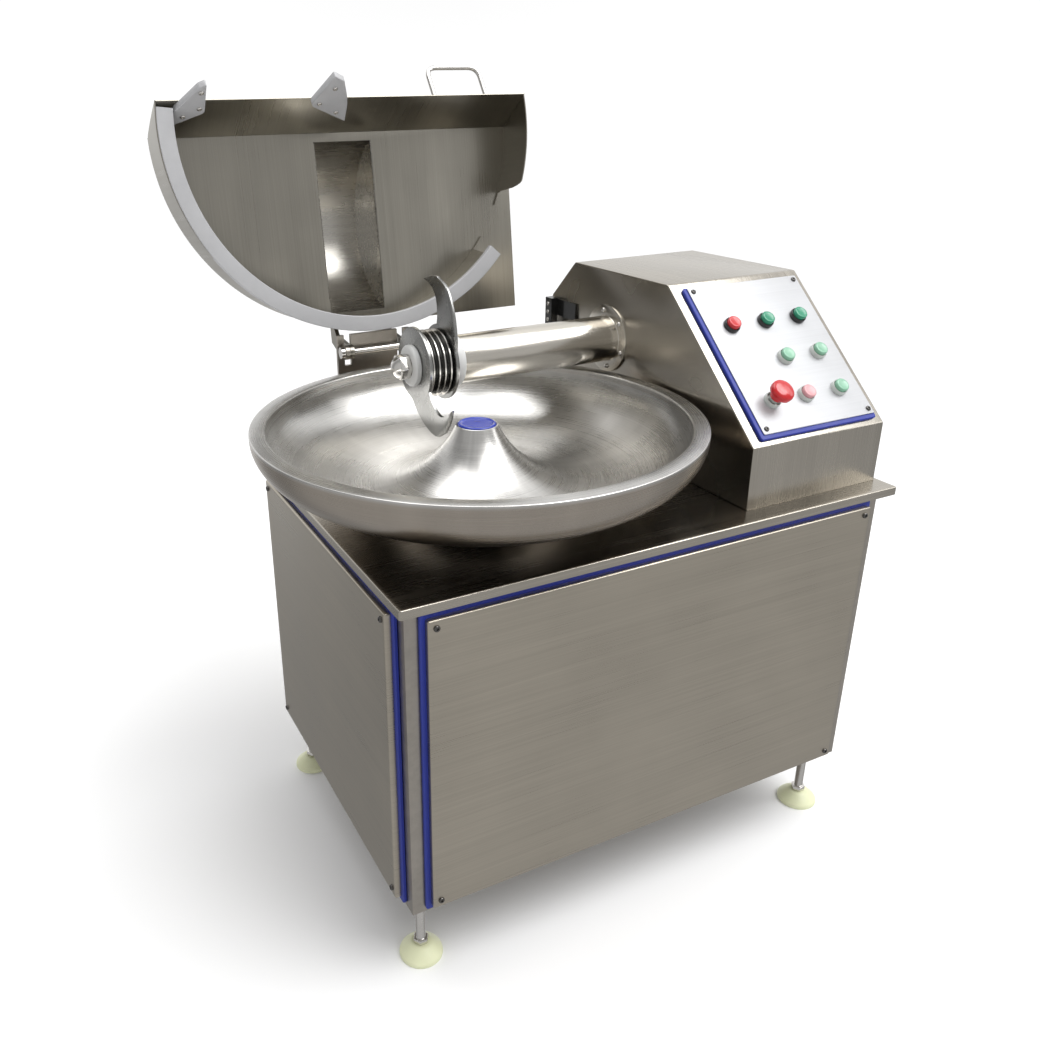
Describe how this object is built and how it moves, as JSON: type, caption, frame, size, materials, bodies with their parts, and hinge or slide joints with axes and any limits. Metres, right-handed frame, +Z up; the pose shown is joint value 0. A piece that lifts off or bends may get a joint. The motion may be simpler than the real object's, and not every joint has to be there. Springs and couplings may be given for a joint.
{
  "type": "meat bowl cutter",
  "caption": "Floor-standing meat bowl cutter: cabinet, turning annular bowl, sickle knives on a horizontal shaft, hinged lid and sloping push-button panel.",
  "frame": {"origin": "on the floor under the middle of the machine's overall box", "axes": "+Z up, -Y towards the operator, +X towards the knife-head housing"},
  "size_m": [1.044, 0.9949, 1.3667],
  "materials": {
    "stainless_panel": "fine satin brushing, slightly warm",
    "frame_steel": "satin",
    "blue_rubber": "matt royal blue",
    "bowl_steel": "turned satin inside, polished lip",
    "blue_plastic": "gloss royal blue",
    "machined_steel": "machined and polished",
    "knife_steel": "ground",
    "white_nylon": "satin white",
    "motor_grey": "grey enamel",
    "pulley_iron": "machined",
    "belt_rubber": "matt black",
    "control_white": "satin near-white",
    "black_plastic": "gloss black",
    "clear_plastic": "translucent white",
    "red_plastic": "gloss red",
    "green_plastic": "gloss green",
    "pale_green_plastic": "pale translucent green",
    "pink_plastic": "pale translucent pink",
    "foot_plastic": "cream green"
  },
  "bodies": {
    "base": {"bottom_plate": "frame_steel", "bowl_bearing_housing": "machined_steel", "bowl_bearings": "machined_steel", "bowl_gearbox": "motor_grey", "bowl_motor": "motor_grey", "clear_bezels": "clear_plastic", "contact_blocks": "black_plastic", "control_gasket": "blue_rubber", "control_plate": "control_white", "dark_bezels": "black_plastic", "drive_belts": "belt_rubber", "estop_bezel": "clear_plastic", "foot_pads": "foot_plastic", "foot_stems": "stainless_panel", "frame": "frame_steel", "front_gasket": "blue_rubber", "front_panel": "stainless_panel", "head_housing": "stainless_panel", "hinge_bracket": "stainless_panel", "hinge_pin": "stainless_panel", "knife_motor": "motor_grey", "left_gasket": "blue_rubber", "left_panel": "stainless_panel", "limit_switch": "stainless_panel", "panel_screws": "stainless_panel", "rear_gasket": "blue_rubber", "rear_panel": "stainless_panel", "right_gasket": "blue_rubber", "right_panel": "stainless_panel", "shaft_bearings": "machined_steel", "shaft_tube": "machined_steel", "top_plate": "stainless_panel", "tube_collar": "white_nylon"},
    "bowl": {"bowl": "bowl_steel", "bowl_cap": "blue_plastic", "bowl_spindle": "machined_steel"},
    "knives": {"knife_shaft": "machined_steel", "upper_knife": "knife_steel", "lower_knife": "knife_steel", "knife_spacers": "knife_steel", "knife_washer": "white_nylon", "knife_nut": "machined_steel", "shaft_pulley": "pulley_iron"},
    "motor_rotor": {"motor_pulley": "pulley_iron"},
    "lid": {"lid_shell": "stainless_panel", "lid_seal": "white_nylon", "wall_scraper": "white_nylon", "cone_scraper": "white_nylon", "lid_handle": "stainless_panel", "lid_arms": "stainless_panel"},
    "stop_button_red_cap": {"stop_button_red": "red_plastic"},
    "start_button_green_cap": {"start_button_green": "green_plastic"},
    "run_button_green_cap": {"run_button_green": "green_plastic"},
    "jog_button_pale_cap": {"jog_button_pale": "pale_green_plastic"},
    "bowl_button_pale_cap": {"bowl_button_pale": "pale_green_plastic"},
    "reset_button_pink_cap": {"reset_button_pink": "pink_plastic"},
    "speed_button_pale_cap": {"speed_button_pale": "pale_green_plastic"},
    "estop_slider": {"estop_stem": "clear_plastic"},
    "estop_knob": {"estop_head": "red_plastic"}
  },
  "joints": [
    {"name": "bowl_spin", "type": "hinge", "parent": "base", "child": "bowl", "pos_m": [-0.15, -0.1335, 0.834], "axis": [0, 0, 1], "continuous": true},
    {"name": "knife_spin", "type": "hinge", "parent": "base", "child": "knives", "pos_m": [-0.15, 0.0415, 0.882], "axis": [1, 0, 0], "continuous": true},
    {"name": "motor_spin", "type": "hinge", "parent": "base", "child": "motor_rotor", "pos_m": [0.38, 0.0415, 0.33], "axis": [1, 0, 0], "continuous": true},
    {"name": "lid_hinge", "type": "hinge", "parent": "base", "child": "lid", "pos_m": [-0.153, 0.2725, 0.858], "axis": [1, 0, 0], "range_deg": [0, 98]},
    {"name": "stop_button_red_push", "type": "slide", "parent": "base", "child": "stop_button_red_cap", "axis": [0, 0.679, -0.7341], "range_m": [0, 0.004], "stiffness_N_per_m": 300, "springref_m": -0.003},
    {"name": "start_button_green_push", "type": "slide", "parent": "base", "child": "start_button_green_cap", "axis": [0, 0.679, -0.7341], "range_m": [0, 0.004], "stiffness_N_per_m": 300, "springref_m": -0.003},
    {"name": "run_button_green_push", "type": "slide", "parent": "base", "child": "run_button_green_cap", "axis": [0, 0.679, -0.7341], "range_m": [0, 0.004], "stiffness_N_per_m": 300, "springref_m": -0.003},
    {"name": "jog_button_pale_push", "type": "slide", "parent": "base", "child": "jog_button_pale_cap", "axis": [0, 0.679, -0.7341], "range_m": [0, 0.004], "stiffness_N_per_m": 300, "springref_m": -0.003},
    {"name": "bowl_button_pale_push", "type": "slide", "parent": "base", "child": "bowl_button_pale_cap", "axis": [0, 0.679, -0.7341], "range_m": [0, 0.004], "stiffness_N_per_m": 300, "springref_m": -0.003},
    {"name": "reset_button_pink_push", "type": "slide", "parent": "base", "child": "reset_button_pink_cap", "axis": [0, 0.679, -0.7341], "range_m": [0, 0.004], "stiffness_N_per_m": 300, "springref_m": -0.003},
    {"name": "speed_button_pale_push", "type": "slide", "parent": "base", "child": "speed_button_pale_cap", "axis": [0, 0.679, -0.7341], "range_m": [0, 0.004], "stiffness_N_per_m": 300, "springref_m": -0.003},
    {"name": "estop_push", "type": "slide", "parent": "base", "child": "estop_slider", "axis": [0, 0.679, -0.7341], "range_m": [0, 0.005]},
    {"name": "estop_twist", "type": "hinge", "parent": "estop_slider", "child": "estop_knob", "pos_m": [0.299, -0.32955, 0.85827], "axis": [0, -0.679, 0.7341], "range_deg": [0, 35], "stiffness_Nm_per_rad": 0.02}
  ],
  "couplings": [
    {"joint": "motor_spin", "follows": "knife_spin", "ratio": 0.786}
  ]
}
